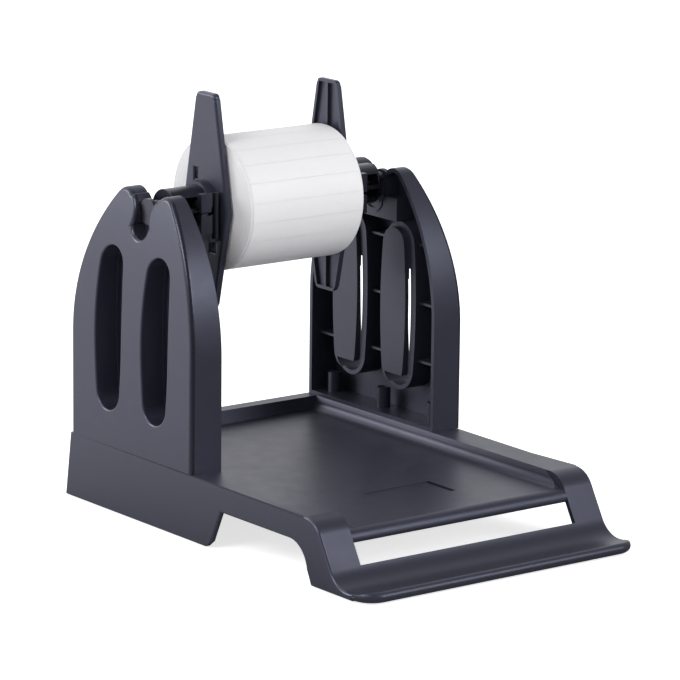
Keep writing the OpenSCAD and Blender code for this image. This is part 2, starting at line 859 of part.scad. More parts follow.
// Points of one ring of the spring's wire at turn t
function spring_ring(t, sides = 6) =
    let (r = (spring_d - spring_wire) / 2,
         run = spring_to - spring_from - spring_wire,
         a = 360 * t * spring_turns,
         y = spring_from + spring_wire / 2 + run * t)
    [for (k = [0:sides - 1])
        let (b = 360 * k / sides, q = r + spring_wire / 2 * cos(b))
        [q * cos(a), y + spring_wire / 2 * sin(b), q * sin(a)]];

module lock_spring() {
    sides = 6;
    rings = spring_turns * 12;
    points = [for (i = [0:rings]) each spring_ring(i / rings, sides)];
    walls = [for (i = [0:rings - 1]) for (k = [0:sides - 1])
        let (a = i * sides + k, b = i * sides + (k + 1) % sides)
        each [[a, b, b + sides], [a, b + sides, a + sides]]];
    first = [for (k = [1:sides - 2]) [0, k + 1, k]];
    last = [for (k = [1:sides - 2]) [rings * sides, rings * sides + k, rings * sides + k + 1]];
    color("silver")
    translate([rod_x, axis_y, axis_z + spring_z])
        polyhedron(points, concat(walls, first, last), convexity = 10);
}

module label_core() {
    color([0.72, 0.6, 0.45])
    translate([0, axis_y, axis_z])
        along_x(-core_l / 2, core_l / 2)
            difference() {
                circle(d = core_bore + 2 * core_wall);
                circle(d = core_bore);
            }
}

module label_roll() {
    color([0.93, 0.93, 0.93])
    translate([0, axis_y, axis_z])
        along_x(-roll_w / 2, roll_w / 2)
            difference() {
                circle(d = roll_d);
                circle(d = core_bore + 2 * core_wall + 0.2);
            }
}

module left() {
    mirror([1, 0, 0])
        children();
}

base_tray();
left() upright();  // left_upright
upright();  // right_upright
left() upright_screws();  // left_upright_screws
upright_screws();  // right_upright_screws
left() foot(front_foot_y);  // front_left_foot
foot(front_foot_y);  // front_right_foot
left() foot(rear_foot_y);  // rear_left_foot
foot(rear_foot_y);  // rear_right_foot
left() bush();  // left_bush
bush();  // right_bush
spindle();
left() flange();  // left_flange
flange();  // right_flange
left() lock();  // left_lock
lock();  // right_lock
left() lock_spring();  // left_lock_spring
lock_spring();  // right_lock_spring
label_core();
label_roll();
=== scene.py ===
# %% [markdown]
# Label roll holder
# This lesson dresses a label roll holder for a shop counter. The engineering model comes
# first and stays as it is: it has the true sizes and it knows what moves. Everything here
# is put on it or stands for one of its pieces, in metres and in the same frame.

# %% Load the engineering model
import math

import bmesh
import bpy
from mathutils import Matrix, Quaternion, Vector


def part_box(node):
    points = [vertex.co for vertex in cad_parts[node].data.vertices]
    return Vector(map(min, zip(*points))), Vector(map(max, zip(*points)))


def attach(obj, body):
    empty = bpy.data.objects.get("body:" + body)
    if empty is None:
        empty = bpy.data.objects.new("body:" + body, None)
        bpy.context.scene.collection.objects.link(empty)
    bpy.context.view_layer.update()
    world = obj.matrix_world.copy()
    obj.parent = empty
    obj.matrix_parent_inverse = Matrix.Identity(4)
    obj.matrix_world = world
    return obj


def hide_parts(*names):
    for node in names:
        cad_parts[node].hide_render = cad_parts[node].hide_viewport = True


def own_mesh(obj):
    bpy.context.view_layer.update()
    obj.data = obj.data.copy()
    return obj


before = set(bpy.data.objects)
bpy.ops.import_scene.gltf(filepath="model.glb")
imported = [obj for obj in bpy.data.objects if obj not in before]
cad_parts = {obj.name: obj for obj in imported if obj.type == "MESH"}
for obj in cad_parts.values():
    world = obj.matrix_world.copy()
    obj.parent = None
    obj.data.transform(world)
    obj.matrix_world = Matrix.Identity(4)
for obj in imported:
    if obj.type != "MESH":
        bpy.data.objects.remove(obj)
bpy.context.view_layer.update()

MM = 0.001
scene = bpy.context.scene

# %% [markdown]
# A few small helpers
# Colours are written as the sRGB hex values that a colour picker shows. Blender's shaders
# work in linear light, so one function converts them. A second function adds a node with
# its settings and its links, for materials and for geometry alike. With it, a tree reads
# from top to bottom like a recipe. The last two open and close a material. Every pattern
# reads Object coordinates, so its scale is a true size in metres.


# %% Colour and node helpers
def linear(hex_code):
    channels = [int(hex_code[i:i + 2], 16) / 255 for i in (1, 3, 5)]
    curve = [c / 12.92 if c <= 0.04045 else ((c + 0.055) / 1.055) ** 2.4 for c in channels]
    return (*curve, 1.0)


def add(tree, kind, inputs=None, **settings):
    node = tree.nodes.new(kind)
    for name, value in settings.items():
        setattr(node, name, value)
    for socket, value in (inputs or {}).items():
        if isinstance(value, bpy.types.NodeSocket):
            tree.links.new(value, node.inputs[socket])
        else:
            node.inputs[socket].default_value = value
    return node


def new_material(name):
    material = bpy.data.materials.new(name)
    material.use_nodes = True
    tree = material.node_tree
    tree.nodes.clear()
    place = add(tree, "ShaderNodeTexCoord").outputs["Object"]
    return material, tree, place


def close_material(tree, shader):
    add(tree, "ShaderNodeOutputMaterial", {"Surface": shader.outputs[0]})


print("a mid grey of #808080 is", round(linear("#808080")[0], 3), "in linear light")

# %% [markdown]
# Moulded plastic
# The stand is injection moulded ABS, its spindle and bushes are acetal and its locks are
# nylon. The mould of the stand was spark eroded, so the plastic has a fine matt grain and
# looks satin. Its edges are glossier, where hands rub them, and the lighter tone on them is
# a painted highlight. The rounding of the uprights came from a polished part of the mould,
# so it is glossier, and its nearly black tone is painted shade, where it mirrors the dark
# front of the studio. The grain is about 0.3 mm across on the real part. It is drawn at
# 0.9 mm, because a finer one would be lost in a picture of this size. A picture of the
# surface could give the same look, but noise needs no file and has no seams. Wide, weak
# patches in tone and roughness stand for the way the plastic flowed and cooled.


# %% How a plastic is made
SHEEN_TINT = "#dde0ff"
PLASTIC_IOR = 1.54
TONE_PATCH = 45 * MM
FLOW_PATCH = 12 * MM


def moulded_plastic(name, tones, roughness, grain, grain_depth, specular):
    dark, light = tones
    smooth, dull = roughness
    material, tree, place = new_material(name)
    patches = add(tree, "ShaderNodeTexNoise",
                  {"Vector": place, "Scale": 1 / TONE_PATCH, "Detail": 3.0, "Roughness": 0.55})
    tone = add(tree, "ShaderNodeMix", {0: patches.outputs["Fac"], 6: linear(dark), 7: linear(light)},
               data_type="RGBA")
    flow = add(tree, "ShaderNodeTexNoise",
               {"Vector": place, "Scale": 1 / FLOW_PATCH, "Detail": 5.0, "Roughness": 0.6})
    rough = add(tree, "ShaderNodeMapRange",
                {"Value": flow.outputs["Fac"], "From Min": 0.3, "From Max": 0.7,
                 "To Min": smooth, "To Max": dull})
    pits = add(tree, "ShaderNodeTexNoise",
               {"Vector": place, "Scale": 1 / grain, "Detail": 2.0, "Roughness": 0.5})
    relief = add(tree, "ShaderNodeBump",
                 {"Height": pits.outputs["Fac"], "Strength": 0.35, "Distance": grain_depth})
    shader = add(tree, "ShaderNodeBsdfPrincipled",
                 {"Base Color": tone.outputs[2], "Roughness": rough.outputs["Result"],
                  "IOR": PLASTIC_IOR, "Specular IOR Level": specular,
                  "Specular Tint": linear(SHEEN_TINT), "Normal": relief.outputs["Normal"]})
    close_material(tree, shader)
    return material


# %% The plastics of the holder
abs_satin = moulded_plastic("abs_satin_black", ("#24252f", "#272832"), (0.385, 0.44),
                            grain=0.9 * MM, grain_depth=0.02 * MM, specular=0.85)
# The rubbed edges are glossier from wear, and their lighter tone is a painted highlight along the
# rounded edges.
abs_edge_rubbed_and_sheen = moulded_plastic("abs_rubbed_edge_and_sheen", ("#292a35", "#2e2f3b"), (0.28, 0.35),
                           grain=0.9 * MM, grain_depth=0.008 * MM, specular=0.9)
# The rounding of the uprights is painted nearly black: painted shade where it mirrors the dark front
# of the studio. Its lower roughness is its real polish.
abs_rounding_painted_dark = moulded_plastic("abs_polished_rounding_painted_dark", ("#14151a", "#181920"), (0.25, 0.31),
                               grain=0.9 * MM, grain_depth=0.006 * MM, specular=0.7)
spindle_plastic = moulded_plastic("acetal_black", ("#121217", "#16161c"), (0.24, 0.33),
                                  grain=0.7 * MM, grain_depth=0.012 * MM, specular=0.75)
lock_plastic = moulded_plastic("nylon_dark", ("#16171e", "#1a1b22"), (0.28, 0.36),
                               grain=0.7 * MM, grain_depth=0.015 * MM, specular=0.85)
bush_plastic = moulded_plastic("acetal_bush", ("#2c2d33", "#303138"), (0.25, 0.33),
                               grain=0.7 * MM, grain_depth=0.006 * MM, specular=0.5)
print("with the plastics there are", len(bpy.data.materials), "materials")

# %% [markdown]
# Steel
# The screws are zinc-plated steel and the springs are drawn wire. A metal takes its colour
# from what it mirrors, so a pale tint, a low roughness and faint streaks from the drawing
# die are all that it needs. The streaks are a noise, since wire is too thin for a pattern
# that follows its length to show. Both keep the shader's own IOR.


# %% Steel
def drawn_steel(name, tint, roughness, streak):
    material, tree, place = new_material(name)
    streaks = add(tree, "ShaderNodeTexNoise",
                  {"Vector": place, "Scale": 1 / streak, "Detail": 4.0})
    rough = add(tree, "ShaderNodeMapRange",
                {"Value": streaks.outputs["Fac"], "From Min": 0.3, "From Max": 0.7,
                 "To Min": roughness - 0.06, "To Max": roughness + 0.06})
    relief = add(tree, "ShaderNodeBump",
                 {"Height": streaks.outputs["Fac"], "Strength": 0.2, "Distance": 0.01 * MM})
    shader = add(tree, "ShaderNodeBsdfPrincipled",
                 {"Base Color": linear(tint), "Metallic": 1.0,
                  "Roughness": rough.outputs["Result"], "Normal": relief.outputs["Normal"]})
    close_material(tree, shader)
    return material


zinc = drawn_steel("zinc_plated_steel", "#c3c4c6", roughness=0.32, streak=0.8 * MM)
wire_steel = drawn_steel("drawn_spring_wire", "#cfd0d2", roughness=0.24, streak=0.4 * MM)
print("steels:", zinc.name, wire_steel.name)

# %% [markdown]
# Rubber
# The feet are pressed from soft black rubber. Its surface is dull and slightly uneven, and
# it has a faint bloom, so the roughness is high and a coarse noise stirs it.


# %% Rubber
BLOOM_PATCH = 2.5 * MM


def soft_rubber(name, tint):
    material, tree, place = new_material(name)
    bloom = add(tree, "ShaderNodeTexNoise",
                {"Vector": place, "Scale": 1 / BLOOM_PATCH, "Detail": 4.0})
    rough = add(tree, "ShaderNodeMapRange",
                {"Value": bloom.outputs["Fac"], "From Min": 0.3, "From Max": 0.7,
                 "To Min": 0.72, "To Max": 0.86})
    relief = add(tree, "ShaderNodeBump",
                 {"Height": bloom.outputs["Fac"], "Strength": 0.3, "Distance": 0.03 * MM})
    shader = add(tree, "ShaderNodeBsdfPrincipled",
                 {"Base Color": linear(tint), "Roughness": rough.outputs["Result"],
                  "IOR": 1.52, "Normal": relief.outputs["Normal"]})
    close_material(tree, shader)
    return material


foot_rubber = soft_rubber("foot_rubber", "#1e1e1f")
print("rubber:", foot_rubber.name)

# %% [markdown]
# Paper and board
# The labels are coated paper: nearly white and smooth, with a faint mottle. Their backing
# is a glazed paper of nearly the same tone. The core is kraft board, brown and fibrous. All
# three are felted fibres, so one function makes them, with a wide mottle in the tone and a
# fine one in the relief.


# %% Paper and board
MOTTLE_PATCH = 6 * MM


def fibre_sheet(name, tones, roughness, fibre, depth):
    dark, light = tones
    material, tree, place = new_material(name)
    mottle = add(tree, "ShaderNodeTexNoise",
                 {"Vector": place, "Scale": 1 / MOTTLE_PATCH, "Detail": 5.0, "Roughness": 0.6})
    tone = add(tree, "ShaderNodeMix", {0: mottle.outputs["Fac"], 6: linear(dark), 7: linear(light)},
               data_type="RGBA")
    felt = add(tree, "ShaderNodeTexNoise",
               {"Vector": place, "Scale": 1 / fibre, "Detail": 3.0})
    relief = add(tree, "ShaderNodeBump",
                 {"Height": felt.outputs["Fac"], "Strength": 0.3, "Distance": depth})
    shader = add(tree, "ShaderNodeBsdfPrincipled",
                 {"Base Color": tone.outputs[2], "Roughness": roughness,
                  "IOR": 1.48, "Normal": relief.outputs["Normal"]})
    close_material(tree, shader)
    return material


label_face = fibre_sheet("coated_label_paper", ("#e8e7ea", "#ecebee"), roughness=0.5,
                         fibre=0.8 * MM, depth=0.01 * MM)
backing_paper = fibre_sheet("label_backing_paper", ("#e7e6e9", "#ebeaed"), roughness=0.55,
                            fibre=0.8 * MM, depth=0.01 * MM)
core_board = fibre_sheet("wound_kraft_board", ("#a5875f", "#b5976d"), roughness=0.8,
                         fibre=0.5 * MM, depth=0.05 * MM)
print("papers and board:", label_face.name, backing_paper.name, core_board.name)

# %% [markdown]
# Moulded pieces
# A moulding has no knife edge. Its outer contours are rounded by one to three millimetres,
# and every other corner has a small radius that catches the light. The engineering solids
# have sharp edges, because rounding them all would cost the modeller much and the physics
# nothing. Here each one is copied, its loose triangles are joined and its flat areas are
# merged. A Bevel modifier rounds each kind of contour by an edge weight, and a last one
# rounds what is left, as far as there is room. Weighted Normal then keeps the large faces
# flat.


# %% Copy a solid and keep its faces flat
JOIN_DISTANCE = 0.002 * MM
FLAT_LIMIT = math.radians(0.4)
SMOOTH_LIMIT = math.radians(32)


def joined_copy(node, name):
    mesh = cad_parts[node].data.copy()
    mesh.name = name
    solid = bmesh.new()
    solid.from_mesh(mesh)
    bmesh.ops.remove_doubles(solid, verts=solid.verts, dist=JOIN_DISTANCE)
    bmesh.ops.dissolve_limit(solid, angle_limit=FLAT_LIMIT, verts=solid.verts, edges=solid.edges)
    solid.to_mesh(mesh)
    solid.free()
    piece = bpy.data.objects.new(name, mesh)
    scene.collection.objects.link(piece)
    return piece


def keep_result(piece, name):
    graph = bpy.context.evaluated_depsgraph_get()
    mesh = bpy.data.meshes.new_from_object(piece.evaluated_get(graph))
    mesh.name = name
    materials = list(piece.data.materials)
    piece.modifiers.clear()
    piece.data = mesh
    if not mesh.materials:
        for material in materials:
            mesh.materials.append(material)


def shade_by_angle(mesh):
    solid = bmesh.new()
    solid.from_mesh(mesh)
    for face in solid.faces:
        face.smooth = True
    for edge in solid.edges:
        edge.smooth = len(edge.link_faces) == 2 and edge.calc_face_angle(0) < SMOOTH_LIMIT
    solid.to_mesh(mesh)
    solid.free()


def keep_faces_flat(piece, name):
    shade_by_angle(piece.data)
    flat = piece.modifiers.new("flat_faces", "WEIGHTED_NORMAL")
    flat.keep_sharp = True
    flat.weight = 90
    keep_result(piece, name)


# %% [markdown]
# Which edges are contours
# A bevel needs to know its edges. They could be picked by hand in the viewport, but a rule
# finds them again when a size changes. Each rule looks at the two faces beside an edge: one
# of them has to be the outer face and the other one a side face. It gets how far the two
# normals point outwards, and the middle of the edge in millimetres, as if every piece lay
# on the right-hand side. The outer faces of the uprights lean inwards towards the top, so
# their rules ask for less. Each upright has two oval pockets, one on either side of the
# axis. The floor of a pocket, with its raised back and its slit, is too thin to round and
# stays sharp. The places below are in millimetres too.

# %% Places that the rules look at
axis_low, axis_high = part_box("spindle")
axis_y = (axis_low[1] + axis_high[1]) / 2 / MM
axis_z = (axis_low[2] + axis_high[2]) / 2 / MM
rail_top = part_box("left_upright")[0][2] / MM
upright_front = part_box("left_upright")[0][1] / MM
half_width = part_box("base_tray")[1][0] / MM
print("axis at", round(axis_y, 2), round(axis_z, 2), "rail top", round(rail_top, 2),
      "front of the uprights", round(upright_front, 2))
POCKET_OFFSET = 24
POCKET_HALF_WIDTH = 14.2
POCKET_BOTTOM = 61
POCKET_TOP = 162
POCKET_FLOOR = (79.5, 85)
OUTER_FACE = 88.5
HUB_REACH = 20.5
FLANGE_BACK = 47.3
SOLE_TOP = 3
LIP_REACH = -108


# %% Rules for the contours
def is_corner(outer, side, least=0.9):
    return outer > least and abs(side) < 0.5


def in_pocket(y, z):
    beside = abs(abs(y - axis_y) - POCKET_OFFSET)
    return beside < POCKET_HALF_WIDTH and POCKET_BOTTOM < z < POCKET_TOP


def upright_contour(outer, side, x, y, z):
    on_face = is_corner(outer, side, 0.7) and x > OUTER_FACE
    return on_face and z > rail_top + 1 and not in_pocket(y, z)


def pocket_rim(outer, side, x, y, z):
    return is_corner(outer, side, 0.7) and x > OUTER_FACE and in_pocket(y, z)


def flange_contour(outer, side, x, y, z):
    beyond_hub = math.hypot(y - axis_y, z - axis_z) > HUB_REACH
    return is_corner(outer, side) and x < FLANGE_BACK and beyond_hub


def tray_contour(outer, side, x, y, z):
    under_upright = y > upright_front - 0.5 and z > rail_top - 1
    above_sole = z > SOLE_TOP or y < LIP_REACH
    on_side = is_corner(outer, side) and x > half_width - 0.2
    return on_side and above_sole and not under_upright


def every_corner(outer, side, x, y, z):
    return True


def upright_corner(outer, side, x, y, z):
    low, high = POCKET_FLOOR
    return not (in_pocket(y, z) and low < x < high)


# %% [markdown]
# How the edges are rounded
# A rule's answer becomes an edge weight, and a Bevel modifier reads it. The wide bevel of a
# contour runs past many small steps. It leaves spikes there if it is clamped or slides
# along its neighbours, so both are off for it. The small corners are clamped, so that two
# of them never cross in a thin rib. The clamp narrows every corner of a piece to suit its
# tightest spot. So the small corners keep the width asked for only on the spindle and the
# bushes. They shrink to about 0.05 mm on the locks, and all but close up on the flanges,
# the uprights and the tray, where the contours are what shows. A bevel in the material
# could shade the corners too, but it wouldn't show in the outline or in the mesh.


# %% Mark the edges and round them
SHARP_LIMIT = math.radians(38)


def mark_edges(mesh, rule, convex_only):
    solid = bmesh.new()
    solid.from_mesh(mesh)
    layers = solid.edges.layers.float
    weight = layers.get("bevel_weight_edge") or layers.new("bevel_weight_edge")
    found = 0
    for edge in solid.edges:
        edge[weight] = 0.0
        if len(edge.link_faces) != 2 or (convex_only and not edge.is_convex):
            continue
        if edge.calc_face_angle(0) < SHARP_LIMIT:
            continue
        middle = (edge.verts[0].co + edge.verts[1].co) / 2 / MM
        hand = math.copysign(1, middle.x)
        normals = sorted((face.normal.x * hand for face in edge.link_faces), reverse=True)
        chosen = rule(*normals, abs(middle.x), middle.y, middle.z)
        edge[weight] = float(chosen)
        found += chosen
    solid.to_mesh(mesh)
    solid.free()
    return found


def round_edges(piece, name, width_mm, segments, clamped, finish_index):
    bevel = piece.modifiers.new("rounded_edges", "BEVEL")
    bevel.width = width_mm * MM
    bevel.segments = segments
    bevel.limit_method = "WEIGHT"
    bevel.use_clamp_overlap = clamped
    bevel.loop_slide = clamped
    bevel.material = finish_index
    keep_result(piece, name)


# %% Round and finish one moulding
# Finishes in order: the satin faces, the rubbed edges with their painted highlight, and the rounding
# painted near black as shade.
MAIN, EDGE, PAINTED_DARK_ROUNDING = range(3)
CONTOUR_SEGMENTS = 4
CORNER_SEGMENTS = 2


def moulding(node, body, slot, finish, corner_mm, corner=every_corner, contours=()):
    name = node + "_moulding"
    piece = joined_copy(node, name)
    piece.data.materials.clear()
    for material in finish:
        piece.data.materials.append(material)
    for polygon in piece.data.polygons:
        polygon.material_index = MAIN
    for contour, contour_mm, finish_index in contours:
        found = mark_edges(piece.data, contour, True)
        round_edges(piece, name, contour_mm, CONTOUR_SEGMENTS, False, finish_index)
        print(node, contour.__name__, "edges", found)
    mark_edges(piece.data, corner, False)
    round_edges(piece, name, corner_mm, CORNER_SEGMENTS, True, EDGE)
    keep_faces_flat(piece, name)
    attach(piece, body)
    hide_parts(node)
    print(name, "faces", len(piece.data.polygons))


# %% [markdown]
# The ten mouldings
# The tray, the two uprights and the two flanges are ABS, and rubbed along their edges,
# which are also painted a lighter tone as a highlight. The rounding of the uprights is
# painted near black as shade. The locks, the spindle and its bushes are small and have one
# finish all over. Each row below names the node, the body that it rides on, its slot, its
# finishes, the width asked for its small corners in millimetres and, where it has them, its
# rules. One table and one function keep them alike. Ten cells would say the same thing ten
# times.

# %% The mouldings of the holder
abs_finish = (abs_satin, abs_edge_rubbed_and_sheen, abs_rounding_painted_dark)
lock_finish = (lock_plastic, lock_plastic)
tray_rounding = ((tray_contour, 1.5, EDGE),)
# The uprights' contours get the near-black finish, painted shade, and their pocket rims the lighter
# edge finish, a painted highlight.
upright_rounding = ((upright_contour, 2.6, PAINTED_DARK_ROUNDING), (pocket_rim, 1.3, EDGE))
flange_rounding = ((flange_contour, 1.8, EDGE),)
MOULDINGS = (
    ("base_tray", "stand", "black_plastic", abs_finish, 0.4, every_corner, tray_rounding),
    ("left_upright", "stand", "black_plastic", abs_finish, 0.35, upright_corner, upright_rounding),
    ("right_upright", "stand", "black_plastic", abs_finish, 0.35, upright_corner, upright_rounding),
    ("left_flange", "left_guide", "black_plastic", abs_finish, 0.3, every_corner, flange_rounding),
    ("right_flange", "right_guide", "black_plastic", abs_finish, 0.3, every_corner, flange_rounding),
    ("left_lock", "left_lock", "lock_plastic", lock_finish, 0.35),
    ("right_lock", "right_lock", "lock_plastic", lock_finish, 0.35),
    ("spindle", "spindle", "spindle_plastic", (spindle_plastic, spindle_plastic), 0.3),
    ("left_bush", "bushes", "bush_plastic", (bush_plastic, bush_plastic), 0.3),
    ("right_bush", "bushes", "bush_plastic", (bush_plastic, bush_plastic), 0.3),
)
for row in MOULDINGS:
    moulding(*row)

# %% [markdown]
# How a Geometry Nodes tree is built and used here
# What repeats or follows a path is made by Geometry Nodes. A loop in mesh code could do the
# same, but a tree can be opened in Blender and changed by its named inputs. The modifier's
# values are set by the identifier of each input before anything is evaluated. The result is
# turned into a plain mesh, moved to its place in the mesh itself, and its faces are shaded.


# %% Helpers for geometry trees
def new_tree(name, sizes):
    tree = bpy.data.node_groups.new(name, "GeometryNodeTree")
    tree.interface.new_socket("Geometry", in_out="INPUT", socket_type="NodeSocketGeometry")
    for label in sizes:
        kind = "NodeSocketInt" if label.startswith("Number") else "NodeSocketFloat"
        tree.interface.new_socket(label, in_out="INPUT", socket_type=kind)
    tree.interface.new_socket("Geometry", in_out="OUTPUT", socket_type="NodeSocketGeometry")
    return tree, add(tree, "NodeGroupInput").outputs


def close_tree(tree, geometry, material):
    real = add(tree, "GeometryNodeRealizeInstances", {"Geometry": geometry})
    painted = add(tree, "GeometryNodeSetMaterial",
                  {"Geometry": real.outputs[0], "Material": material})
    add(tree, "NodeGroupOutput", {0: painted.outputs[0]})
    return tree


def grow(name, tree, values, place):
    piece = bpy.data.objects.new(name, bpy.data.meshes.new(name + "_seed"))
    scene.collection.objects.link(piece)
    maker = piece.modifiers.new("grow", "NODES")
    maker.node_group = tree
    for item in tree.interface.items_tree:
        if item.in_out == "INPUT" and item.name in values:
            maker[item.identifier] = values[item.name]
    keep_result(piece, name)
    piece.data.transform(place)
    piece.data.update()
    shade_by_angle(piece.data)
    print(name, "faces", len(piece.data.polygons))
    return piece


def sized(node):
    low, high = (Vector(corner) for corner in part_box(node))
    return (low + high) / 2, high - low


# %% [markdown]
# The roll
# A label roll is one long strip wound on a core, so Geometry Nodes winds it the same way. A
# spiral curve carries a thin rectangle as wide as the strip, and a little noise over the
# radius shifts its turns sideways, which gives the fine rings of a real roll's end. Rings
# painted on a cylinder would be cheaper, but they would stay flat in raking light. A real
# strip is 0.15 mm thick. This one has fewer and thicker turns, because the real ones would
# melt into one tone at this distance. The core's plies come from the same tree.


# %% Tree that winds a strip
RING_WIDTH = 1.1 * MM


def winding_tree(name, material):
    tree, size = new_tree(name, ("Inner radius", "Outer radius", "Turns", "Strip width",
                                 "Strip thickness", "Side shift"))
    spiral = add(tree, "GeometryNodeCurveSpiral",
                 {"Resolution": 96, "Rotations": size["Turns"], "Start Radius": size["Inner radius"],
                  "End Radius": size["Outer radius"], "Height": 0.0})
    level = add(tree, "GeometryNodeSetCurveNormal", {"Curve": spiral.outputs[0]}, mode="Z_UP")
    strip = add(tree, "GeometryNodeCurvePrimitiveQuadrilateral",
                {"Width": size["Strip thickness"], "Height": size["Strip width"]})
    wound = add(tree, "GeometryNodeCurveToMesh",
                {"Curve": level.outputs[0], "Profile Curve": strip.outputs[0], "Fill Caps": True})
    here = add(tree, "ShaderNodeSeparateXYZ", {0: add(tree, "GeometryNodeInputPosition").outputs[0]})
    flat = add(tree, "ShaderNodeCombineXYZ", {0: here.outputs[0], 1: here.outputs[1]})
    radius = add(tree, "ShaderNodeVectorMath", {0: flat.outputs[0]}, operation="LENGTH")
    ring = add(tree, "ShaderNodeCombineXYZ", {0: radius.outputs["Value"]})
    wander = add(tree, "ShaderNodeTexNoise", {"Vector": ring.outputs[0], "Scale": 1 / RING_WIDTH})
    centred = add(tree, "ShaderNodeMath", {0: wander.outputs["Fac"], 1: 0.5}, operation="SUBTRACT")
    shift = add(tree, "ShaderNodeMath", {0: centred.outputs[0], 1: size["Side shift"]},
                operation="MULTIPLY")
    sideways = add(tree, "ShaderNodeCombineXYZ", {2: shift.outputs[0]})
    placed = add(tree, "GeometryNodeSetPosition",
                 {"Geometry": wound.outputs[0], "Offset": sideways.outputs[0]})
    return close_tree(tree, placed.outputs[0], material)


# %% Wind the roll
LABEL_THICKNESS = 0.02 * MM
CORE_CLEARANCE = 0.1 * MM
SIDE_SHIFT = 0.5 * MM
ROLL_TURNS = 70
STRIP_FILL = 0.97
roll_centre, roll_size = sized("label_roll")
core_size = sized("label_core")[1]
core_radius = core_size.z / 2
winding_radius = roll_size.z / 2 - LABEL_THICKNESS
turn_pitch = (winding_radius - core_radius - CORE_CLEARANCE) / ROLL_TURNS
across = Matrix.Translation(roll_centre) @ Matrix.Rotation(math.radians(90), 4, "Y")
strip = grow("label_winding", winding_tree("wound_backing", backing_paper), {
    "Inner radius": core_radius + CORE_CLEARANCE + turn_pitch / 2,
    "Outer radius": winding_radius - turn_pitch / 2, "Turns": float(ROLL_TURNS),
    "Strip width": roll_size.x - SIDE_SHIFT, "Strip thickness": turn_pitch * STRIP_FILL,
    "Side shift": SIDE_SHIFT}, across)
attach(strip, "roll")
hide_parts("label_roll")

# %% Wind its core
BORE_RADIUS = 12.7 * MM
CORE_PLIES = 4
ply_pitch = (core_radius - BORE_RADIUS) / CORE_PLIES
core = grow("wound_core", winding_tree("wound_plies", core_board), {
    "Inner radius": BORE_RADIUS + ply_pitch / 2, "Outer radius": core_radius - ply_pitch / 2,
    "Turns": CORE_PLIES - 1.0, "Strip width": core_size.x, "Strip thickness": ply_pitch,
    "Side shift": 0.0}, across)
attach(core, "roll")
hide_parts("label_core")

# %% [markdown]
# The labels on the outer turn
# The labels are die cut and their waste is peeled off, so each one stands a little proud of
# the backing with a narrow gap to the next. An arc carries the label's section, and a copy
# of it is turned to each place round the roll. Lines in the material could mark the gaps,
# but a thin solid also gives the margin at the roll's sides. A real label is 0.1 mm thick.
# It is drawn at 0.02 mm, so that its edges show as faintly as they do from this distance.
# The labels are all blank.


# %% Tree that lays labels round a roll
def label_tree(material):
    tree, size = new_tree("laid_labels", ("Radius", "Thickness", "Label width", "Step",
                                          "Label sweep", "Number of labels"))
    bow = add(tree, "GeometryNodeCurveArc",
              {"Resolution": 9, "Radius": size["Radius"], "Sweep Angle": size["Label sweep"]})
    level = add(tree, "GeometryNodeSetCurveNormal", {"Curve": bow.outputs[0]}, mode="Z_UP")
    section = add(tree, "GeometryNodeCurvePrimitiveQuadrilateral",
                  {"Width": size["Thickness"], "Height": size["Label width"]})
    label = add(tree, "GeometryNodeCurveToMesh",
                {"Curve": level.outputs[0], "Profile Curve": section.outputs[0], "Fill Caps": True})
    spots = add(tree, "GeometryNodePoints", {"Count": size["Number of labels"]})
    turn = add(tree, "ShaderNodeMath",
               {0: add(tree, "GeometryNodeInputIndex").outputs[0], 1: size["Step"]},
               operation="MULTIPLY")
    facing = add(tree, "ShaderNodeCombineXYZ", {2: turn.outputs[0]})
    laid = add(tree, "GeometryNodeInstanceOnPoints",
               {"Points": spots.outputs[0], "Instance": label.outputs[0],
                "Rotation": facing.outputs[0]})
    return close_tree(tree, laid.outputs[0], material)


# %% Lay the labels
LABEL_COUNT = 21
LABEL_GAP = 0.12 * MM
LABEL_MARGINS = 3 * MM
FIRST_LABEL = math.radians(5)
label_step = 2 * math.pi / LABEL_COUNT
labels = grow("laid_labels", label_tree(label_face), {
    "Radius": winding_radius + LABEL_THICKNESS / 2, "Thickness": LABEL_THICKNESS,
    "Label width": roll_size.x - LABEL_MARGINS, "Step": label_step,
    "Label sweep": label_step - LABEL_GAP / winding_radius, "Number of labels": LABEL_COUNT},
    across @ Matrix.Rotation(FIRST_LABEL, 4, "Z"))
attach(labels, "roll")

# %% [markdown]
# Screws
# Three pan-head screws come up through each rail into the bosses of the upright. Such a
# screw has a cross recess in its head and a thread rolled into its shank. The recess is cut
# with two bars, the thread is a spiral with a four-sided section, and a line of points
# places the three. One screw could be modelled by hand and copied, but the tree also fits
# them to another rail.


# %% Head of a screw
RECESS_WIDTH = 0.8 * MM


def screw_head(tree, size):
    head = add(tree, "GeometryNodeMeshCylinder",
               {"Vertices": 32, "Radius": size["Head radius"], "Depth": size["Head height"]})
    half = add(tree, "ShaderNodeMath", {0: size["Head height"], 1: -0.5}, operation="MULTIPLY")
    down = add(tree, "ShaderNodeCombineXYZ", {2: half.outputs[0]}).outputs[0]
    cuts = add(tree, "GeometryNodeJoinGeometry")
    for quarter in (0.0, math.pi / 2):
        beam = add(tree, "ShaderNodeCombineXYZ",
                   {0: size["Head radius"], 1: RECESS_WIDTH, 2: size["Recess"]})
        bar = add(tree, "GeometryNodeMeshCube", {"Size": beam.outputs[0]})
        turned = add(tree, "GeometryNodeTransform",
                     {"Geometry": bar.outputs[0], "Rotation": (0.0, 0.0, quarter),
                      "Translation": down})
        tree.links.new(turned.outputs[0], cuts.inputs[0])
    cross = add(tree, "GeometryNodeMeshBoolean",
                {"Mesh 1": head.outputs[0], "Mesh 2": cuts.outputs[0]}, operation="DIFFERENCE")
    return add(tree, "GeometryNodeTransform", {"Geometry": cross.outputs[0], "Translation": down})


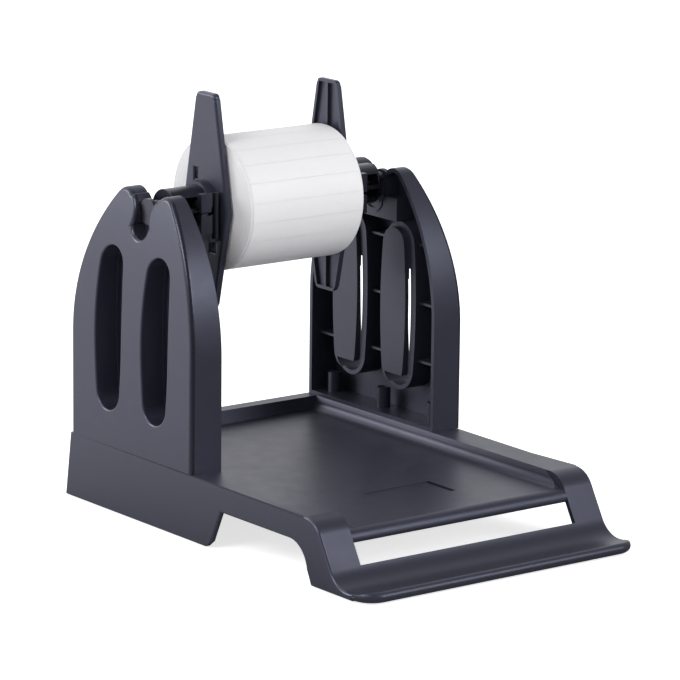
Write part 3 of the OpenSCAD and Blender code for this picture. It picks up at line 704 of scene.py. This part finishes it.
# %% Shank and thread of a screw
THREAD_RIDGE = 0.26 * MM


def screw_shank(tree, size):
    shank = add(tree, "GeometryNodeMeshCylinder",
                {"Vertices": 20, "Radius": size["Shank radius"], "Depth": size["Length"]})
    half = add(tree, "ShaderNodeMath", {0: size["Length"], 1: 0.5}, operation="MULTIPLY")
    upwards = add(tree, "ShaderNodeCombineXYZ", {2: half.outputs[0]})
    return add(tree, "GeometryNodeTransform",
               {"Geometry": shank.outputs[0], "Translation": upwards.outputs[0]})


def screw_thread(tree, size):
    path = add(tree, "GeometryNodeCurveSpiral",
               {"Resolution": 16, "Rotations": size["Turns"], "Start Radius": size["Shank radius"],
                "End Radius": size["Shank radius"], "Height": size["Length"]})
    ridge = add(tree, "GeometryNodeCurvePrimitiveCircle", {"Resolution": 4, "Radius": THREAD_RIDGE})
    return add(tree, "GeometryNodeCurveToMesh",
               {"Curve": path.outputs[0], "Profile Curve": ridge.outputs[0], "Fill Caps": True})


# %% Tree for a row of screws
def screw_tree(material):
    tree, size = new_tree("screw_row", ("Head radius", "Head height", "Shank radius", "Length",
                                        "Turns", "Recess", "Spacing", "Number of screws"))
    whole = add(tree, "GeometryNodeJoinGeometry")
    for make in (screw_shank, screw_head, screw_thread):
        tree.links.new(make(tree, size).outputs[0], whole.inputs[0])
    apart = add(tree, "ShaderNodeCombineXYZ", {1: size["Spacing"]})
    line = add(tree, "GeometryNodeMeshLine",
               {"Count": size["Number of screws"], "Offset": apart.outputs[0]})
    row = add(tree, "GeometryNodeInstanceOnPoints",
              {"Points": line.outputs[0], "Instance": whole.outputs[0]})
    return close_tree(tree, row.outputs[0], material)


# %% Drive in the screws
HEAD_RADIUS = 3.2 * MM
HEAD_HEIGHT = 2.2 * MM
SHANK_RADIUS = 1.2 * MM
RECESS_BAR = 2.4 * MM
THREAD_TURNS = 11.0
screws = screw_tree(zinc)
for side in ("left", "right"):
    node = side + "_upright_screws"
    centre, size = sized(node)
    spacing = (size.y - 2 * HEAD_RADIUS) / 2
    place = Matrix.Translation((centre.x, centre.y - spacing, centre.z - size.z / 2 + HEAD_HEIGHT))
    row = grow(side + "_screws", screws, {
        "Head radius": HEAD_RADIUS, "Head height": HEAD_HEIGHT, "Shank radius": SHANK_RADIUS,
        "Length": size.z - HEAD_HEIGHT, "Turns": THREAD_TURNS, "Recess": RECESS_BAR,
        "Spacing": spacing, "Number of screws": 3}, place)
    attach(row, "stand")
    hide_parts(node)

# %% [markdown]
# Return springs
# A coil of 0.5 mm wire sits in each hub and pushes the lock forward again. It is a spiral
# with a round section and a closed ring at each end. A Screw modifier would turn the same
# coil, but the tree gives its turns and its length a name. The coil can't follow the lock
# as a stiff piece would, so it rides on the guide, with a mesh of its own.


# %% Tree for a coil spring
def coil_tree(material):
    tree, size = new_tree("coil_spring", ("Coil radius", "Wire radius", "Turns", "Length"))
    path = add(tree, "GeometryNodeCurveSpiral",
               {"Resolution": 24, "Rotations": size["Turns"], "Start Radius": size["Coil radius"],
                "End Radius": size["Coil radius"], "Height": size["Length"]})
    ring = add(tree, "GeometryNodeCurvePrimitiveCircle",
               {"Resolution": 24, "Radius": size["Coil radius"]})
    upwards = add(tree, "ShaderNodeCombineXYZ", {2: size["Length"]})
    top = add(tree, "GeometryNodeTransform",
              {"Geometry": ring.outputs[0], "Translation": upwards.outputs[0]})
    paths = add(tree, "GeometryNodeJoinGeometry")
    for part in (path, ring, top):
        tree.links.new(part.outputs[0], paths.inputs[0])
    wire = add(tree, "GeometryNodeCurvePrimitiveCircle",
               {"Resolution": 8, "Radius": size["Wire radius"]})
    drawn = add(tree, "GeometryNodeCurveToMesh",
                {"Curve": paths.outputs[0], "Profile Curve": wire.outputs[0], "Fill Caps": True})
    return close_tree(tree, drawn.outputs[0], material)


# %% Fit the springs
WIRE_RADIUS = 0.25 * MM
COIL_TURNS = 7.0
coil = coil_tree(wire_steel)
for side in ("left", "right"):
    node = side + "_lock_spring"
    centre, size = sized(node)
    place = (Matrix.Translation((centre.x, centre.y - size.y / 2 + WIRE_RADIUS, centre.z))
             @ Matrix.Rotation(math.radians(-90), 4, "X"))
    spring = grow(side + "_return_spring", coil, {
        "Coil radius": size.x / 2 - WIRE_RADIUS, "Wire radius": WIRE_RADIUS,
        "Turns": COIL_TURNS, "Length": size.y - 2 * WIRE_RADIUS}, place)
    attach(spring, side + "_guide")
    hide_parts(node)
    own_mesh(spring)

# %% [markdown]
# Feet
# Four rubber discs are pressed into the underside. Two round grooves in each sole keep it
# from sliding on a wet counter. A turned profile could give one foot. A tree was chosen,
# because it cuts the grooves with thin rings and sets all four discs on the corners of a
# grid. A last small bevel takes the sharpness off the rubber.


# %% Tree for the feet
def foot_tree(material):
    tree, size = new_tree("grooved_feet", ("Radius", "Thickness", "Groove radius", "Groove depth",
                                           "Span across", "Span along"))
    disc = add(tree, "GeometryNodeMeshCylinder",
               {"Vertices": 48, "Radius": size["Radius"], "Depth": size["Thickness"]})
    half = add(tree, "ShaderNodeMath", {0: size["Thickness"], 1: -0.5}, operation="MULTIPLY")
    rings = add(tree, "GeometryNodeJoinGeometry")
    for share in (0.5, 1.0):
        wide = add(tree, "ShaderNodeMath", {0: size["Groove radius"], 1: share}, operation="MULTIPLY")
        ring = add(tree, "GeometryNodeCurvePrimitiveCircle",
                   {"Resolution": 40, "Radius": wide.outputs[0]})
        section = add(tree, "GeometryNodeCurvePrimitiveCircle",
                      {"Resolution": 8, "Radius": size["Groove depth"]})
        tube = add(tree, "GeometryNodeCurveToMesh",
                   {"Curve": ring.outputs[0], "Profile Curve": section.outputs[0]})
        tree.links.new(tube.outputs[0], rings.inputs[0])
    down = add(tree, "ShaderNodeCombineXYZ", {2: half.outputs[0]})
    low = add(tree, "GeometryNodeTransform",
              {"Geometry": rings.outputs[0], "Translation": down.outputs[0]})
    sole = add(tree, "GeometryNodeMeshBoolean",
               {"Mesh 1": disc.outputs[0], "Mesh 2": low.outputs[0]}, operation="DIFFERENCE")
    corners = add(tree, "GeometryNodeMeshGrid",
                  {"Size X": size["Span across"], "Size Y": size["Span along"],
                   "Vertices X": 2, "Vertices Y": 2})
    four = add(tree, "GeometryNodeInstanceOnPoints",
               {"Points": corners.outputs[0], "Instance": sole.outputs[0]})
    return close_tree(tree, four.outputs[0], material)


# %% Press in the feet
FEET = ("front_left_foot", "front_right_foot", "rear_left_foot", "rear_right_foot")
GROOVE_RADIUS = 3.8 * MM
GROOVE_DEPTH = 0.35 * MM
SOLE_EDGE = 0.2 * MM
front_left, foot_size = sized(FEET[0])
rear_right = sized(FEET[3])[0]
feet = grow("rubber_feet", foot_tree(foot_rubber), {
    "Radius": foot_size.x / 2, "Thickness": foot_size.z, "Groove radius": GROOVE_RADIUS,
    "Groove depth": GROOVE_DEPTH, "Span across": rear_right.x - front_left.x,
    "Span along": rear_right.y - front_left.y},
    Matrix.Translation((front_left + rear_right) / 2))
softened = feet.modifiers.new("soft_edges", "BEVEL")
softened.width = SOLE_EDGE
softened.limit_method = "ANGLE"
softened.angle_limit = math.radians(60)
keep_result(feet, "rubber_feet")
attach(feet, "stand")
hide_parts(*FEET)

# %% [markdown]
# Marks of the ejector pins
# The pins that push a moulding out of its mould leave shallow round marks on the side that
# nobody sees. Bump could draw them, but it wouldn't reach the mesh. Here they are
# thin rings that stand out of the tray's floor, a grid between its ribs.


# %% Tree for the pin marks
def pin_tree(material):
    tree, size = new_tree("pin_marks", ("Radius", "Height", "Span across", "Span along",
                                        "Number across", "Number along"))
    ring = add(tree, "GeometryNodeCurvePrimitiveCircle",
               {"Resolution": 32, "Radius": size["Radius"]})
    burr = add(tree, "GeometryNodeCurvePrimitiveCircle",
               {"Resolution": 6, "Radius": size["Height"]})
    mark = add(tree, "GeometryNodeCurveToMesh",
               {"Curve": ring.outputs[0], "Profile Curve": burr.outputs[0]})
    spots = add(tree, "GeometryNodeMeshGrid",
                {"Size X": size["Span across"], "Size Y": size["Span along"],
                 "Vertices X": size["Number across"], "Vertices Y": size["Number along"]})
    field = add(tree, "GeometryNodeInstanceOnPoints",
                {"Points": spots.outputs[0], "Instance": mark.outputs[0]})
    return close_tree(tree, field.outputs[0], material)


# %% Press the pin marks
PIN_RADIUS = 3 * MM
PIN_BURR = 0.12 * MM
PINS_ACROSS = 117 * MM
PINS_ALONG = 150 * MM
PINS_MIDDLE = 32 * MM
FLOOR_UNDERSIDE = 28.9 * MM
marks = grow("ejector_marks", pin_tree(abs_satin), {
    "Radius": PIN_RADIUS, "Height": PIN_BURR, "Span across": PINS_ACROSS,
    "Span along": PINS_ALONG, "Number across": 4, "Number along": 4},
    Matrix.Translation((0, PINS_MIDDLE, FLOOR_UNDERSIDE)))
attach(marks, "stand")

# %% [markdown]
# The camera
# The stand is seen from its front left corner and a little from above, through a long lens,
# so that its lines stay almost parallel. A camera can be placed by eye in the viewport. The
# angles and the distance of this one were worked out instead, from corners of the stand
# whose places are known. Its slight roll is that of a camera held in the hand.

# %% Camera at the photograph's angle
CAMERA_AZIMUTH = math.radians(-37.28)
CAMERA_ELEVATION = math.radians(12.83)
CAMERA_ROLL = math.radians(0.65)
CAMERA_DISTANCE = 2.534
CAMERA_TARGET = Vector((0.0077, 0.0184, 0.1066))
CAMERA_LENS = 226.9
camera_data = bpy.data.cameras.new("camera")
camera_data.lens = CAMERA_LENS
camera_data.sensor_width = 36.0
camera_data.clip_end = 60.0
camera = bpy.data.objects.new("camera", camera_data)
scene.collection.objects.link(camera)
back = Vector((math.sin(CAMERA_AZIMUTH) * math.cos(CAMERA_ELEVATION),
               -math.cos(CAMERA_AZIMUTH) * math.cos(CAMERA_ELEVATION),
               math.sin(CAMERA_ELEVATION)))
camera.location = CAMERA_TARGET + back * CAMERA_DISTANCE
camera.rotation_mode = "QUATERNION"
camera.rotation_quaternion = (-back).to_track_quat("-Z", "Y") @ Quaternion((0, 0, 1), CAMERA_ROLL)
scene.camera = camera
print("camera at", [round(value, 3) for value in camera.location])

# %% [markdown]
# What the gloss sees
# Black plastic shows mostly what it mirrors. A studio is dark in front, where the camera
# stands, and light behind the object, where the backdrop is lit. A painted room could be
# built round the stand, but it would throw shadows. Here the floor and the world each get a
# smooth change from dark to light that only glossy rays see.


# %% Dark in front and light behind
LEFTWARD = -0.25


def front_shade(tree, direction, tones, reach):
    part = add(tree, "ShaderNodeSeparateXYZ", {0: direction})
    leftward = add(tree, "ShaderNodeMath", {0: part.outputs[0], 1: LEFTWARD}, operation="MULTIPLY")
    back = add(tree, "ShaderNodeMath", {0: part.outputs[1], 1: leftward.outputs[0]}, operation="ADD")
    return add(tree, "ShaderNodeMapRange",
               {"Value": back.outputs[0], "From Min": reach[0], "From Max": reach[1],
                "To Min": tones[0], "To Max": tones[1]},
               interpolation_type="SMOOTHSTEP").outputs["Result"]


# %% [markdown]
# The floor
# The stand is shown on a pale sweep of matt paper. A curved sweep could be built, but a
# wide square does, because the camera never sees where it ends. Its tone sets how much
# light it throws back. Rays from the camera get a lift, so that it looks nearly white and
# still takes the shadow.

# %% A pale floor
FLOOR_REACH = 9
FLOOR_TONE = 0.94
FLOOR_LIFT = 0.72
floor_mesh = bpy.data.meshes.new("floor")
floor_corners = [(x * FLOOR_REACH, y * FLOOR_REACH, 0)
                 for x, y in ((-1, -1), (1, -1), (1, 1), (-1, 1))]
floor_mesh.from_pydata(floor_corners, [], [(0, 1, 2, 3)])
floor = bpy.data.objects.new("floor", floor_mesh)
scene.collection.objects.link(floor)
floor_paint, tree, place = new_material("pale_floor")
ray = add(tree, "ShaderNodeLightPath")
mirrored = front_shade(tree, place, tones=(0.17, 1.0), reach=(-0.25, 0.45))
tone = add(tree, "ShaderNodeMix", {0: ray.outputs["Is Glossy Ray"], 2: FLOOR_TONE, 3: mirrored})
grey = tone.outputs[0]
paint = add(tree, "ShaderNodeCombineColor", {0: grey, 1: grey, 2: grey})
lift = add(tree, "ShaderNodeMath", {0: ray.outputs["Is Camera Ray"], 1: FLOOR_LIFT},
           operation="MULTIPLY")
close_material(tree, add(tree, "ShaderNodeBsdfPrincipled",
                         {"Base Color": paint.outputs[0], "Roughness": 0.9,
                          "Specular IOR Level": 0.0, "Emission Color": (1, 1, 1, 1),
                          "Emission Strength": lift.outputs[0]}))
floor_mesh.materials.append(floor_paint)
print("floor", 2 * FLOOR_REACH, "m wide")

# %% [markdown]
# The room
# The background is plain white. A white wall could be put behind the stand, but the world
# does the same from every side. The camera sees it at full strength, the stand gets a
# weaker light from all round, and glossy and transmitted rays see the change from dark to
# light.

# %% A white room
ROOM_LEVEL = 0.62
world = bpy.data.worlds.new("studio")
scene.world = world
world.use_nodes = True
tree = world.node_tree
tree.nodes.clear()
ray = add(tree, "ShaderNodeLightPath")
sight = add(tree, "ShaderNodeTexCoord").outputs["Generated"]
glossy = add(tree, "ShaderNodeMath",
             {0: ray.outputs["Is Glossy Ray"], 1: ray.outputs["Is Transmission Ray"]},
             operation="MAXIMUM")
mirrored = front_shade(tree, sight, tones=(0.21, 1.15), reach=(-0.4, 0.8))
room = add(tree, "ShaderNodeMix", {0: glossy.outputs[0], 2: ROOM_LEVEL, 3: mirrored})
level = add(tree, "ShaderNodeMix", {0: ray.outputs["Is Camera Ray"], 2: room.outputs[0], 3: 1.0})
sky = add(tree, "ShaderNodeBackground", {"Color": (1, 1, 1, 1), "Strength": level.outputs[0]})
add(tree, "ShaderNodeOutputWorld", {"Surface": sky.outputs[0]})
print("world:", world.name)

# %% [markdown]
# The lamps
# Three round soft boxes light the stand: the key from the left and above, a fill from the
# front right, and a lower one from behind, which draws a pale line along the rims. Sun
# lamps would be simpler, but they give hard shadows. Each lamp is a metre or more across
# and over two metres away, so its reflections fade out softly. The power is in watts.


# %% Three soft boxes
SOFT_BOXES = (
    ("key", (-2.0, -0.3, 1.7), (0, 0, 0.1), 1.2, 20),
    ("fill", (1.0, -1.9, 1.1), (0, 0, 0.1), 1.0, 16.5),
    ("rear", (-1.5, 1.6, 0.9), (0, 0, 0.15), 1.0, 13),
)


def soft_box(name, position, target, size, power):
    data = bpy.data.lights.new(name, "AREA")
    data.shape = "DISK"
    data.size = size
    data.energy = power
    lamp = bpy.data.objects.new(name, data)
    lamp.location = position
    lamp.rotation_mode = "QUATERNION"
    lamp.rotation_quaternion = (Vector(target) - Vector(position)).to_track_quat("-Z", "Y")
    scene.collection.objects.link(lamp)


for row in SOFT_BOXES:
    soft_box(*row)
scene.view_settings.view_transform = "Standard"
print("lamps:", len(bpy.data.lights))
